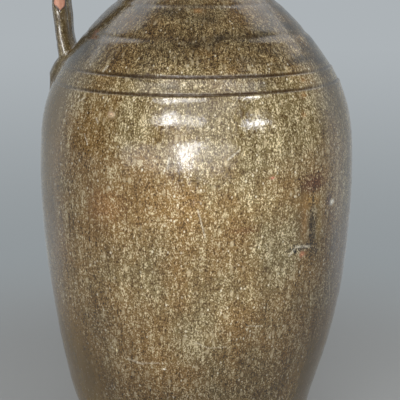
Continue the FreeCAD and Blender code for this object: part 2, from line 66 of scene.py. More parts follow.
# the wall's arcs, as the CAD model turns them
LOWER_WALL, UPPER_WALL, SHOULDER, DOME = 0.694, 0.562, 0.1172, 0.2317
UPPER_LEAN, SHOULDER_LEAN = 4.0, 30.7
NECK_RADIUS, NECK_TURN, LIP_ROLL = 0.030, 0.012, 0.009
THROAT_RADIUS, THROAT_TURN = 0.017, 0.029
FLOOR_FILLET, FOOT_BEVEL = 0.024, 0.003
CORK_TAPER, CORK_CHAMFER = 3.0, 0.0015

# turned rings: height above the belly, how far they climb to the side, depth, half width of the dark line
DEEP_RINGS = [(0.0852, 0.5 * MM, 1.0 * MM, 1.7 * MM), (0.0978, -0.5 * MM, 1.0 * MM, 1.7 * MM)]
FAINT_RINGS = [(0.1255, 0.3 * MM, 0.45 * MM, 2.4 * MM), (0.1500, 0.3 * MM, 0.3 * MM, 1.8 * MM)]
# the burr that the tool raised under each deep ring: height, and how far it falls back to the wall
BURRS = [(0.70 * MM, 3.9 * MM), (0.66 * MM, 3.5 * MM)]
# a deep ring's cut, in mm above its line: crest of the burr, bottom of the cut from and to, wall above it
BURR_CREST, CUT_LOW, CUT_HIGH, CUT_LIP = -1.3, -0.5, 0.2, 1.4
CUT_PITCH, CUT_WEAR = 0.05, 0.32  # mm: how finely it is drawn, how far its corners are worn
DARK_LINE_RISE = 0.3 * MM  # where the dark line lies above the ring's own line
# where glaze filled the rings, beside the handle and a little on the far side: turn, half turn, share
FILLED_RINGS = [(-78, 30, 0.7), (60, 15, 0.4)]

# how far a hand's unevenness stands out of the wall
THROWING_LINE, THROWING_PITCH, THROWING_DRIFT = 0.03 * MM, 7.3 * MM, 0.09
THROWING_DEPTH, DENT_DEPTH, STREAK_DEPTH = 0.06 * MM, 0.16 * MM, 0.05 * MM
# the lower wall's lean to the camera's left: how far, from where down, over how much, where it eases off
LEAN, LEAN_TOP, LEAN_REACH, LEAN_FOOT, LEAN_POWER = 3.6 * MM, 0.158, 0.1, 0.05, 1.4

CAMERA_TURN = 10.0  # degrees round the jug from -Y
FACING = math.radians(CAMERA_TURN - 90)  # the jug's own angle that faces the camera


# ------------------------------ the wall's outline
def arc(cx, cz, radius, start, end, step=0.4 * MM):
    """Points (r, z) of an arc between two leans in degrees."""
    count = max(2, int(abs(math.radians(end - start)) * radius / step))
    lean = np.radians(np.linspace(start, end, count))
    return np.stack([cx + radius * np.cos(lean), cz + radius * np.sin(lean)], 1)


def next_centre(x, z, radius, to_radius, lean):
    """Centre of the arc that carries on smoothly from another at a lean."""
    lean = math.radians(lean)
    return x + (radius - to_radius) * math.cos(lean), z + (radius - to_radius) * math.sin(lean)


def lower_wall(skin, bottom):
    radius = LOWER_WALL + skin
    lean = math.degrees(math.asin((bottom - BELLY_Z) / radius))
    return arc(BELLY_RADIUS - LOWER_WALL, BELLY_Z, radius, lean, 0)


def upper_wall(skin, face, turn):
    """Wall, shoulder and dome at an offset from the clay's face, then the hollow turn to an upright face."""
    wall = BELLY_RADIUS - UPPER_WALL, BELLY_Z
    shoulder = next_centre(*wall, UPPER_WALL, SHOULDER, UPPER_LEAN)
    dome = next_centre(*shoulder, SHOULDER, DOME, SHOULDER_LEAN)
    across = face + turn - dome[0]
    rise = math.sqrt((DOME + skin + turn) ** 2 - across ** 2)
    meet = math.degrees(math.atan2(rise, across))
    return np.concatenate([
        arc(*wall, UPPER_WALL + skin, 0, UPPER_LEAN),
        arc(*shoulder, SHOULDER + skin, UPPER_LEAN, SHOULDER_LEAN),
        arc(*dome, DOME + skin, SHOULDER_LEAN, meet),
        arc(dome[0] + across, dome[1] + rise, turn, 180 + meet, 180)])


def lip(skin):
    """The rolled lip, from where it leaves the neck up to its crown."""
    x, roll = LIP_RADIUS - LIP_ROLL, LIP_ROLL + skin
    under = -math.degrees(math.acos((NECK_RADIUS + skin - x) / roll))
    return arc(x, LIP_TOP - LIP_ROLL, roll, under, 90)


def along(points):
    """Distance along an outline at each of its points."""
    return np.concatenate([[0], np.cumsum(np.linalg.norm(np.diff(points, axis=0), axis=1))])


def resample(points, where, values=None):
    """The outline, or values given along it, at distances along it."""
    reach, values = along(points), points if values is None else values
    return np.stack([np.interp(where, reach, values[:, i]) for i in (0, 1)], 1)


def softened(points, spread, step=0.25 * MM):
    """The outline at an even spacing, its corners rounded over a length."""
    even = resample(points, np.arange(0, along(points)[-1], step))
    half = int(4 * spread / step)
    weights = np.exp(-0.5 * (np.arange(-half, half + 1) * step / spread) ** 2)
    weights /= weights.sum()
    grown = np.concatenate([2 * even[0] - even[half:0:-1], even, 2 * even[-1] - even[-2:-half - 2:-1]])
    return np.stack([np.convolve(grown[:, i], weights, "valid") for i in (0, 1)], 1)


def outward(points):
    """Unit normals (r, z) of an outline that runs upwards on the outside."""
    slope = np.gradient(points, axis=0)
    normal = np.stack([slope[:, 1], -slope[:, 0]], 1)
    return normal / np.maximum(np.linalg.norm(normal, axis=1, keepdims=True), 1e-12)


def outside(skin, bottom):
    """The whole outside, from a height near the foot to the crown of the lip."""
    up = upper_wall(skin, NECK_RADIUS + skin, NECK_TURN - skin)
    return softened(np.concatenate([lower_wall(skin, bottom), up, lip(skin)]), 0.9 * MM)


def spaced(length, marks, fine, coarse):
    """Steps along an outline: fine near the marks (place, half width), coarse elsewhere."""
    steps, here = [0.0], 0.0
    while here < length:
        near = max([bell(here - place, half) for place, half in marks] + [0])
        here += coarse + (fine - coarse) * min(1, 1.6 * near)
        steps.append(min(here, length))
    return np.array(steps)


# ------------------------------ the potter's hand
def bell(distance, half):
    """1 at no distance, falling softly to 1/e at the half width."""
    return np.exp(-(distance / half) ** 2)


def half_turned(degrees):
    """Degrees brought between -180 and 180."""
    return (degrees + 180) % 360 - 180


def draw_waves(count, turns, lengths):
    """Waves for a soft random relief that closes round the jug: (turns round it, length up it, phase)."""
    low, high = turns
    return [(rng.integers(low, high + 1), rng.uniform(*lengths), rng.uniform(0, TAU)) for _ in range(count)]


def ripple(waves, turn, reach):
    """The relief that the waves give together, from -1 to 1 or so."""
    total = sum(np.sin(around * turn + TAU * reach / length + phase) for around, length, phase in waves)
    return total / math.sqrt(len(waves)) / 1.1


THROWING = draw_waves(14, (0, 3), (0.012, 0.05))
DENTS = draw_waves(10, (1, 6), (0.05, 0.4))
STREAKS = draw_waves(26, (5, 40), (0.03, 0.3))


def ring_height(turn, rise, climb):
    """Where a turned ring runs: never quite level."""
    return BELLY_Z + rise + climb * np.sin(turn - FACING) + 0.15 * MM * np.sin(3 * turn + 40 * rise)


def open_ring(turn):
    """How open the rings are, from 0 to 1."""
    turn = np.degrees(turn - FACING)
    return 1 - sum(share * bell(half_turned(turn - place), half) for place, half, share in FILLED_RINGS)


def groove(turn, height, rings):
    """How deep in a turned ring a point lies, from 0 to 1."""
    cuts = [bell(height - ring_height(turn, rise, climb) - DARK_LINE_RISE, half)
            for rise, climb, _, half in rings]
    return np.max(cuts, axis=0) * open_ring(turn)


def tooled(above, depth, burr, fall):
    """A cut made with a tool's corner: square above, a burr below, and the burr's fall back to the wall."""
    steps = np.arange(-12, 5, CUT_PITCH) * MM
    places = np.array([BURR_CREST, BURR_CREST, CUT_LOW, CUT_HIGH, CUT_LIP]) * MM - [fall, 0, 0, 0, 0]
    shape = np.interp(steps, places, [0, burr, -depth, -depth, 0])
    worn = bell(np.arange(-16, 17) * CUT_PITCH, CUT_WEAR)
    return np.interp(above, steps, np.convolve(shape, worn / worn.sum(), "same"))


def relief(turn, height, reach):
    """How far the real wall stands out of the turned arcs: rings, throwing lines and a hand's unevenness."""
    out = 0 * turn * height
    for (rise, climb, depth, _), (burr, fall) in zip(DEEP_RINGS, BURRS):
        above = height - ring_height(turn, rise, climb)
        wander = 1 + 0.06 * np.sin(5 * turn + 90 * rise) + 0.04 * np.sin(13 * turn + 50 * rise)
        out += tooled(above, depth, burr, fall) * wander * np.sqrt(open_ring(turn))
    for rise, climb, depth, half in FAINT_RINGS:
        above = height - ring_height(turn, rise, climb)
        out += 0.3 * depth * bell(above + 5 * MM, 3.5 * MM) - depth * bell(above, half)
    drift = 1.5 * np.sin(TAU * reach / THROWING_DRIFT)
    out += THROWING_LINE * np.sin(TAU * reach / THROWING_PITCH + turn + drift)
    out += THROWING_DEPTH * ripple(THROWING, turn, reach)
    out += DENT_DEPTH * ripple(DENTS, turn, reach)
    return out + STREAK_DEPTH * ripple(STREAKS, turn, reach)


def swell(turn, height):
    """The slow flattening of a big pot thrown in two parts, and the lean of its lower wall."""
    share = np.clip(height / LIP_TOP, 0, 1)
    flat = (0.5 * MM * np.cos(2 * turn + 0.6) + 0.35 * MM * np.cos(3 * turn - 1.0)) * np.sin(math.pi * share)
    below = np.clip((LEAN_TOP - height) / LEAN_REACH, 0, 1) ** LEAN_POWER
    lean = LEAN * below * (0.4 + 0.6 * np.clip(height / LEAN_FOOT, 0, 1))
    return flat - lean * np.sin(turn - FACING)


# ------------------------------ meshes
def new_object(name, points, faces, fields=None):
    """A smooth object in the scene, with a value or a vector at each point for each field."""
    mesh = bpy.data.meshes.new(name)
    mesh.from_pydata(np.asarray(points).tolist(), [], [list(face) for face in faces])
    for key, values in (fields or {}).items():
        add_field(mesh, key, values)
    mesh.shade_smooth()
    obj = bpy.data.objects.new(name, mesh)
    bpy.context.scene.collection.objects.link(obj)
    return obj


def add_field(mesh, key, values):
    values = np.asarray(values, np.float32)
    kind, field = ("FLOAT_VECTOR", "vector") if values.ndim == 2 else ("FLOAT", "value")
    mesh.attributes.new(key, kind, "POINT").data.foreach_set(field, values.ravel())


def grid_faces(rows, columns, closed):
    """Quads of rows of points round the axis, the last row joined to the first where closed."""
    row = np.arange(rows if closed else rows - 1)[:, None]
    column = np.arange(columns)[None, :]
    up, right = (row + 1) % rows, (column + 1) % columns
    corners = [row * columns + column, row * columns + right, up * columns + right, up * columns + column]
    return np.stack([np.broadcast_to(c, (len(row), columns)) for c in corners], -1).reshape(-1, 4)


def full_turn(columns):
    """The angles of columns of points round the axis, in one row."""
    return (np.arange(columns) * TAU / columns)[None, :]


def turned(radius, height, turn):
    """Points round the axis, from their radius, height and angle."""
    return np.stack([radius * np.cos(turn), radius * np.sin(turn), np.broadcast_to(height, radius.shape)], -1)


def capped(name, radius, height, turn, fields=None):
    """A solid of rows round the axis, closed by a point on the axis below the first and above the last."""
    rows, columns = radius.shape
    points = turned(radius, height, turn).reshape(-1, 3)
    ends = [(0, 0, height[0].mean()), (0, 0, height[-1].mean())]
    faces = grid_faces(rows, columns, closed=False).tolist()
    low, high, top = rows * columns, rows * columns + 1, (rows - 1) * columns
    for i in range(columns):
        after = (i + 1) % columns
        faces.append((low, after, i))
        faces.append((high, top + i, top + after))
    full = {key: np.concatenate([values.ravel(), [values[0].mean(), values[-1].mean()]])
            for key, values in (fields or {}).items()}
    return new_object(name, np.concatenate([points, ends]), faces, full)


def ring_marks(points):
    """Where the rings lie along an outline, with the half width that needs fine rows."""
    reach = along(points)
    wall = points[:, 1] > BELLY_Z
    return [(np.interp(BELLY_Z + rise - 1 * MM, points[wall][:, 1], reach[wall]), 5.5 * MM)
            for rise, *_ in DEEP_RINGS + FAINT_RINGS]


ALL_ROUND = 9e9  # a half turn so wide that the zone is a level band

# darker and lighter zones over the wall: fired tone, painted shade towards the sides and low on the wall, and
# painted highlight haze in a few lighter spots: (turn, height, half turn, half height, amount)
TONE_AND_PAINTED_LIGHT = [
    (-52, 0.23, 24, 0.14, -0.34), (52, 0.23, 22, 0.14, -0.32), (-55, 0.11, 26, 0.07, -0.06),
    (-15, 0.075, 50, 0.045, -0.48), (34, 0.115, 30, 0.060, -0.30), (40, 0.228, 3.2, 0.034, -0.20),
    (0, 0.145, 40, 0.030, -0.12), (-32, 0.27, 12, 0.04, -0.16), (-36, 0.140, 9, 0.022, -0.24),
    (13, 0.160, 9, 0.020, 0.16), (60, 0.15, 17, 0.11, -0.26), (0, 0.04, ALL_ROUND, 0.06, -0.14),
    (5, 0.208, 45, 0.016, -0.10), (22, 0.247, 22, 0.012, 0.16), (43, 0.300, 8, 0.030, 0.22),
    (-36, 0.358, 20, 0.018, 0.16), (52, 0.358, 14, 0.022, 0.20), (25, 0.380, 14, 0.012, 0.14),
    (12, 0.290, 12, 0.020, 0.12), (72, 0.20, 13, 0.13, -0.20), (-72, 0.20, 13, 0.13, -0.20),
    (56, 0.06, 25, 0.05, -0.16), (66, 0.33, 13, 0.06, -0.34), (-66, 0.33, 13, 0.05, -0.30),
    (120, 0.20, 40, 0.12, -0.20), (-130, 0.26, 30, 0.10, -0.18), (160, 0.10, 30, 0.06, -0.25)]
# browner (positive) or more olive (negative) zones
WARMTH = [
    (0, 0.08, ALL_ROUND, 0.10, 0.9), (0, 0.325, ALL_ROUND, 0.05, -0.8), (-22, 0.215, 30, 0.070, 0.65),
    (14, 0.175, 12, 0.030, -0.6), (38, 0.130, 30, 0.080, -0.8), (-35, 0.285, 20, 0.040, 0.35),
    (48, 0.290, 20, 0.050, -0.8), (-20, 0.080, 60, 0.040, 0.8), (0, 0.365, 180, 0.040, 0.3),
    (110, 0.24, 40, 0.07, 0.8), (-120, 0.16, 40, 0.07, -0.8), (170, 0.28, 35, 0.07, 0.7)]
# zones with few flecks (positive), or with dark ground and strong flecks (negative); the plain zones low on
# both sides and at the rims are partly painted reflection, a smooth tint where a mirrored surface veils the
# flecks
PLAIN_AND_PAINTED_REFLECTION = [
    (0, 0.372, ALL_ROUND, 0.035, -1.0), (68, 0.33, 13, 0.05, 0.6), (-66, 0.33, 12, 0.045, 0.55),
    (-60, 0.080, 23, 0.060, 1.0), (60, 0.080, 18, 0.055, 0.9), (-66, 0.25, 16, 0.10, 0.6),
    (140, 0.07, 25, 0.04, 0.7)]
# the dark fired dome: its amount, where it begins and over how much height
DOME_SHADE, DOME_SHADE_FROM, DOME_SHADE_OVER = -0.50, 0.338, 0.018
# slanting smears where the glaze was wiped on: (turn, height, half turn, half height, slant, amount)
SMEARS = [(rng.uniform(-180, 180), rng.uniform(0.33, 0.41), rng.uniform(2, 8), rng.uniform(0.002, 0.006),
           rng.uniform(-2500, 1000), rng.uniform(-0.32, 0.30)) for _ in range(230)]
SMEARS += [(rng.uniform(-180, 180), rng.uniform(0.02, 0.33), rng.uniform(1.2, 5), rng.uniform(0.006, 0.035),
            rng.uniform(-60, 60), rng.uniform(-0.13, 0.13)) for _ in range(330)]


def zoned(zones, around, height):
    """The sum of the zones, level or slanting, at each place on the wall."""
    total = 0 * around
    for turn, middle, half_turn, half_height, *slant, amount in zones:
        rise = height - middle
        gap = half_turned(around - turn - sum(slant) * rise)
        total += amount * bell(gap, half_turn) * bell(rise, half_height)
    return total


RUN_COUNT = 26
RUNS = list(zip(rng.uniform(0, TAU, RUN_COUNT), rng.uniform(0.03, 0.10, RUN_COUNT),
                rng.uniform(0.3, 2.2, RUN_COUNT)))


def glaze_edge(turn):
    """How far over the coat's lower edge it really stops: a dipped line with runs that crept below it."""
    line = 1.6 * MM + 1.1 * MM * np.sin(turn + 0.4) + 0.5 * MM * np.sin(4 * turn)
    for place, width, drop in RUNS:
        line = line - drop * MM * bell((turn - place + math.pi) % TAU - math.pi, width)
    return line


COAT_OUTLINE = outside(GLAZE, GLAZE_LINE)
COAT_REACH = along(COAT_OUTLINE)
COAT_NORMAL = outward(COAT_OUTLINE)
CROWN_FADE = 6 * MM  # where the relief dies out under the lip's crown
COAT_FINE, COAT_COARSE = 0.5 * MM, 2.9 * MM  # row spacing at the rings and elsewhere
LIP_BELOW, LIP_HALF = 0.022, 0.03  # the neck and lip need fine rows too
# the coat's lower edge: how high it rounds in, its bead, its tuck, how high up the runs pull it
EDGE_HIGH, EDGE_BEAD, EDGE_TUCK, EDGE_PULL = 0.010, 0.9 * MM, 0.5 * MM, 0.02
UNDERSIDE = 0.92  # how deep the hidden underside lies, in coat thicknesses


def reach_at(height):
    """Distance along the coat's outline at a height on the wall."""
    return np.interp(height, COAT_OUTLINE[:, 1], COAT_REACH)


def wall_surface(turn, rows, depth):
    """Radius and height of the worked wall at distances along the coat, at a depth under the coat's face."""
    reach = rows[:, None]
    line, normal = resample(COAT_OUTLINE, rows), resample(COAT_OUTLINE, rows, COAT_NORMAL)
    line_r, line_z, normal_r, normal_z = (a[:, i:i + 1] for a in (line, normal) for i in (0, 1))
    fade = np.clip((COAT_REACH[-1] - reach) / CROWN_FADE, 0, 1)
    out = relief(turn, line_z, reach) * fade - depth
    return line_r + normal_r * out + swell(turn, line_z) * fade, line_z + normal_z * out


def make_coat():
    """The glaze over the outside, a closed skin from its ragged lower edge to the lip's crown."""
    columns = 330
    turn = full_turn(columns)
    length = COAT_REACH[-1]
    rings = ring_marks(COAT_OUTLINE)
    rows = spaced(length, rings + [(length - LIP_BELOW, LIP_HALF)], COAT_FINE, COAT_COARSE)
    ringed = np.max([bell(rows - place, half) for place, half in rings], axis=0) > 0.4
    kept = np.arange(len(rows)) % np.where(ringed, 2, 6) == 0
    hidden = rows[kept][::-1]
    radius, height = wall_surface(turn, rows, 0)
    low = np.clip(rows[:, None] / EDGE_HIGH, 0, 1)
    radius = radius + EDGE_BEAD * np.sqrt(low * (1 - low)) - EDGE_TUCK * (1 - low) ** 6
    under_r, under_z = wall_surface(turn, hidden, UNDERSIDE * GLAZE)
    reach = np.concatenate([rows, hidden])[:, None]
    radius, height = np.concatenate([radius, under_r]), np.concatenate([height, under_z])
    height = height + glaze_edge(turn) * np.clip(1 - reach / EDGE_PULL, 0, 1) ** 2
    flow = turned((radius + BELLY_RADIUS) / 2, reach, turn)
    wall_z = np.interp(reach, COAT_REACH, COAT_OUTLINE[:, 1])
    fields = {"flow": flow.reshape(-1, 3), "ring": groove(turn, wall_z, DEEP_RINGS).ravel()}
    fields["faint"] = groove(turn, wall_z, FAINT_RINGS).ravel()
    around, level = half_turned(np.degrees(turn - FACING)) + 0 * wall_z, wall_z + 0 * turn
    fields["place"] = np.stack([around, level * 1000, 0 * around], -1).reshape(-1, 3)
    # the shade field holds the glaze's smears and the zones of fired tone, painted shade and painted
    # highlight haze; the plain field is partly painted reflection
    for name, zones in (("shade", TONE_AND_PAINTED_LIGHT + SMEARS), ("warm", WARMTH), ("plain", PLAIN_AND_PAINTED_REFLECTION)):
        fields[name] = zoned(zones, around, level).ravel()
    fields["shade"] += DOME_SHADE * np.clip((level.ravel() - DOME_SHADE_FROM) / DOME_SHADE_OVER, 0, 1)
    points = turned(radius, height, turn).reshape(-1, 3)
    return new_object("glaze_coat", points, grid_faces(len(reach), columns, closed=True), fields)


def make_lower_clay():
    """Floor and lower wall in bare clay, with the marks of the wire that cut it off the wheel."""
    turn = full_turn(240)
    hub, base_rows = 1 * MM, 90
    fine_rows, fine, coarse = 40, 0.6 * MM, 4 * MM
    foot = lower_wall(0, FOOT_BEVEL)
    foot_r = foot[0, 0]
    inner = lower_wall(-WALL, FLOOR_TOP + FLOOR_FILLET)[::-1]
    base = np.stack([np.linspace(hub, foot_r - FOOT_BEVEL, base_rows), np.zeros(base_rows)], 1)
    corner_r = inner[-1, 0] - FLOOR_FILLET
    fillet = arc(corner_r, FLOOR_TOP + FLOOR_FILLET, FLOOR_FILLET, 0, -90, 2 * MM)
    floor = np.array([(corner_r * 0.5, FLOOR_TOP), (hub, FLOOR_TOP)])
    above = np.arange(fine_rows * fine, along(foot)[-1], coarse)
    outer = resample(foot, np.concatenate([np.arange(fine_rows) * fine, above]))
    line = np.concatenate([base, outer, foot[-1:], inner[::12], fillet, floor])
    line_r, line_z = line[:, :1], line[:, 1:]
    row = np.arange(len(line))[:, None]
    on_base = row < len(base)
    on_wall = (row >= len(base)) & (row <= len(base) + len(outer))
    x, y = line_r * np.cos(turn), line_r * np.sin(turn)
    wire_x, wire_y, wire_pitch = -0.13, 0.05, 5.5 * MM
    wire = np.sin(TAU * np.hypot(x - wire_x, y - wire_y) / wire_pitch + 2 * np.sin(turn))
    drag = np.clip((foot_r - FOOT_BEVEL - line_r) / (8 * MM), 0, 1)
    cut = drag * (0.35 * MM + 0.22 * MM * wire + 0.08 * MM * ripple(STREAKS, turn, line_r))
    radius = line_r + on_wall * (relief(turn, line_z, reach_at(line_z)) + swell(turn, line_z))
    chip = 0.35 * MM * ripple(STREAKS, turn, line_z) * bell(line_z - FOOT_BEVEL, 2 * MM)
    radius = radius + on_wall * np.minimum(chip, 0)
    height = line_z + on_base * np.maximum(cut, 0) + 0 * turn
    return capped("foot_and_lower_wall", radius, height, turn)


def make_upper_clay():
    """The thrown upper wall under its glaze, with the same rings and unevenness."""
    columns = 220
    turn = full_turn(columns)
    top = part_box("upper_section")[1].z
    start, end = reach_at(BELLY_Z), reach_at(top)
    marks = [(place - start, half) for place, half in ring_marks(COAT_OUTLINE)]
    rows = start + spaced(end - start, marks, 0.6 * MM, 5 * MM)
    radius, height = wall_surface(turn, rows, GLAZE)
    inner = upper_wall(-WALL, THROAT_RADIUS, THROAT_TURN)[::-20]
    inner = inner[inner[:, 1] <= top - 6 * MM]
    radius = np.concatenate([radius, inner[:, :1] + 0 * turn])
    height = np.concatenate([height, inner[:, 1:] + 0 * turn])
    points = turned(radius, height, turn).reshape(-1, 3)
    return new_object("upper_wall", points, grid_faces(len(radius), columns, closed=True))


def off_wall(points):
    """How far points stand off the smooth coat, and the coat's outward direction beside them."""
    radius, height = np.hypot(points[:, 0], points[:, 1]), points[:, 2]
    shares = 40  # taken share by share, to stay small in memory
    near = [np.argmin((COAT_OUTLINE[:, 0] - r[:, None]) ** 2 + (COAT_OUTLINE[:, 1] - z[:, None]) ** 2, 1)
            for r, z in zip(np.array_split(radius, shares), np.array_split(height, shares))]
    near = np.concatenate(near)
    line, normal = COAT_OUTLINE[near], COAT_NORMAL[near]
    stand = (radius - line[:, 0]) * normal[:, 0] + (height - line[:, 1]) * normal[:, 1]
    level = normal[:, :1] * points[:, :2] / radius[:, None]
    return stand, np.concatenate([level, normal[:, 1:]], 1)


HANDLE_NODES = ("strap_handle", "lower_terminal", "upper_terminal", "handle_glaze")
# ridges that pulling left along the strap: depth, spacing, drift up the strap, phase
PULLED_RIDGES = [(0.38 * MM, 8.2 * MM, 6, 0.9), (0.16 * MM, 3.7 * MM, 9, 0)]
OUTER_TRIM = 1.8 * MM  # how far the strap's outer face lies inside the CAD's
THUMB_ASIDE, THUMB_HEIGHT, THUMB_HALF, THUMB_DEPTH = 1.5 * MM, 0.328, 8.5 * MM, 1.1 * MM
# the pressed tail: below what height, over how much, its outer face, where that bends out and how steeply,
# and how far its sides fall back at what distance from its middle
TAIL_TOP, TAIL_EASE, TAIL_FACE, TAIL_BEND, TAIL_SLOPE = 0.362, 0.008, 0.1299, 0.338, 0.37
TAIL_ROUND, TAIL_HALF = 4.2 * MM, 18 * MM
SWEEP = 4.5 * MM  # radius of the clay smeared out on to the wall


def voxel_lump(nodes):
    """One closed mesh round several CAD nodes, softly rounded."""
    whole = bmesh.new()
    for node in nodes:
        whole.from_mesh(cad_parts[node].data)
    mesh = bpy.data.meshes.new("lump")
    whole.to_mesh(mesh)
    lump = bpy.data.objects.new("lump", mesh)
    bpy.context.scene.collection.objects.link(lump)
    remesh = lump.modifiers.new("remesh", "REMESH")
    remesh.mode, remesh.voxel_size = "VOXEL", 0.75 * MM
    smooth = lump.modifiers.new("smooth", "SMOOTH")
    smooth.factor, smooth.iterations = 0.5, 14
    ready = lump.evaluated_get(bpy.context.evaluated_depsgraph_get())
    grown = bpy.data.meshes.new_from_object(ready)
    bpy.data.objects.remove(lump)
    return grown


def make_handle():
    """The pulled strap with its pressed-on wads, one lump of clay under its glaze, worked over by fingers."""
    grown = voxel_lump(HANDLE_NODES)
    count = len(grown.vertices)
    place, normal = np.empty(count * 3), np.empty(count * 3)
    grown.vertices.foreach_get("co", place)
    grown.vertex_normals.foreach_get("vector", normal)
    place, normal = place.reshape(-1, 3), normal.reshape(-1, 3)
    stand, away = off_wall(place)
    x, y, z = place.T
    free = np.clip((stand - 6 * MM) / (14 * MM), 0, 1)
    flat = 1 - np.abs(normal[:, 1]) ** 1.5
    pulled = sum(depth * np.sin(TAU * y / spacing + phase + drift * z)
                 for depth, spacing, drift, phase in PULLED_RIDGES)
    wander = (0.30 * MM * np.sin(TAU * z / 0.031 + 3 * x / 0.05)
              + 0.25 * MM * np.sin(TAU * (x + 2 * z) / 0.047 + 2))
    bare = bare_patch(x, y, z)
    outer_face = np.clip(-1.3 * normal[:, 0], 0, 1)
    out = free * flat * pulled + 0.6 * wander - 0.35 * MM * bare - OUTER_TRIM * outer_face * free
    thumb = bell(np.sqrt((y - THUMB_ASIDE) ** 2 + (z - THUMB_HEIGHT) ** 2), THUMB_HALF) * (stand > 2 * MM)
    out -= THUMB_DEPTH * thumb
    place = place + normal * out[:, None]
    low = np.clip((TAIL_TOP - z) / TAIL_EASE, 0, 1) * (x < -0.1)
    tail = TAIL_FACE - TAIL_SLOPE * np.maximum(z - TAIL_BEND, 0) - TAIL_ROUND * (y / TAIL_HALF) ** 2
    place[:, 0] += low * np.maximum(-place[:, 0] - tail, 0)
    stand, away = off_wall(place)
    near = np.clip(stand / SWEEP, 0, 1)
    spread = SWEEP * (1 - np.sqrt(1 - (1 - near) ** 2)) * (stand < SWEEP)
    level = normal - (normal * away).sum(1, keepdims=True) * away
    level /= np.maximum(np.linalg.norm(level, axis=1, keepdims=True), 0.35)
    place = place + level * (spread * 0.8)[:, None]
    grown.vertices.foreach_set("co", place.ravel())
    grown.name = "handle"
    add_field(grown, "flow", place)
    add_field(grown, "bare", bare)
    grown.shade_smooth()
    handle = bpy.data.objects.new("handle", grown)
    bpy.context.scene.collection.objects.link(handle)
    return handle


# the patch where the glaze crawled off the strap's front edge: middle, and half sizes
BARE_LEVEL, BARE_ASIDE, BARE_FRONT = 0.396, 3.5 * MM, -16 * MM
BARE_HALF_WIDTH, BARE_HALF_HEIGHT, BARE_HALF_DEPTH = 6.6 * MM, 9.6 * MM, 12 * MM


def bare_patch(x, y, z):
    """How bare the clay is at each point, from 0 to 1."""
    edge = (np.abs(z - BARE_LEVEL) < 3 * MM) & (y < -11 * MM)
    middle = x[edge].mean() + BARE_ASIDE
    ragged = 0.7 * MM * np.sin(z / (1.3 * MM)) + 0.6 * MM * np.sin(x / (0.8 * MM) + z / (2 * MM))
    across = (x - middle + ragged) / BARE_HALF_WIDTH
    up = (z - BARE_LEVEL + 0.8 * MM * np.sin(x / (1.1 * MM))) / BARE_HALF_HEIGHT
    inside = 1 - np.sqrt(across ** 2 + up ** 2 + ((y - BARE_FRONT) / BARE_HALF_DEPTH) ** 2)
    return np.clip(inside * 2.8, 0, 1)


PIT_COUNT, PIT_DEPTH = 150, 0.7 * MM


def make_cork():
    """A hand-cut natural cork, pitted with lenticels."""
    low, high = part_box("cork_stopper")
    top_r = high.x
    low_r = top_r - (high.z - low.z) * math.tan(math.radians(CORK_TAPER))
    columns, end_rows, side_rows = 200, 22, 84
    turn = full_turn(columns)
    end = np.linspace(0.4 * MM, 1, end_rows)
    cut = CORK_CHAMFER
    side = np.linspace(0, 1, side_rows)[:, None]
    bottom = np.stack([end * (low_r - cut), np.full(end_rows, low.z)], 1)
    side_r, side_z = low_r + (top_r - low_r) * side, low.z + cut + (high.z - low.z - 2 * cut) * side
    wall = np.concatenate([side_r, side_z], 1)
    top = np.stack([end[::-1] * (top_r - cut), np.full(end_rows, high.z)], 1)
    line = softened(np.concatenate([bottom, wall, top]), 0.35 * MM)
    rows = np.arange(0, along(line)[-1], 0.48 * MM)
    normal = resample(line, rows, outward(line))
    line = resample(line, rows)
    line[:, 0] = np.maximum(line[:, 0], 0.3 * MM)
    place = turned(line[:, :1] + 0 * turn, line[:, 1:], turn)
    pits = np.zeros(place.shape[:2])
    for _ in range(PIT_COUNT):
        row, column = rng.integers(4, len(rows) - 4), rng.integers(0, columns)
        long, wide = rng.uniform(0.8, 2.6) * MM, rng.uniform(0.35, 0.8) * MM
        gap = place - place[row, column]
        level = np.hypot(gap[..., 0], gap[..., 1] * (1 + 1.5 * abs(normal[row, 1])))
        long = long if abs(normal[row, 1]) < 0.5 else 0.45 * long
        pits = np.maximum(pits, bell(level, long) * bell(gap[..., 2], wide) * rng.uniform(0.4, 1))
    out = np.minimum(0.10 * MM * ripple(STREAKS, turn * 2, line[:, 1:]) - PIT_DEPTH * pits, 0)
    radius = line[:, :1] + normal[:, :1] * out
    height = line[:, 1:] + normal[:, 1:] * out
    return capped("cork", np.maximum(radius, 0.1 * MM), height, turn, {"pit": pits})


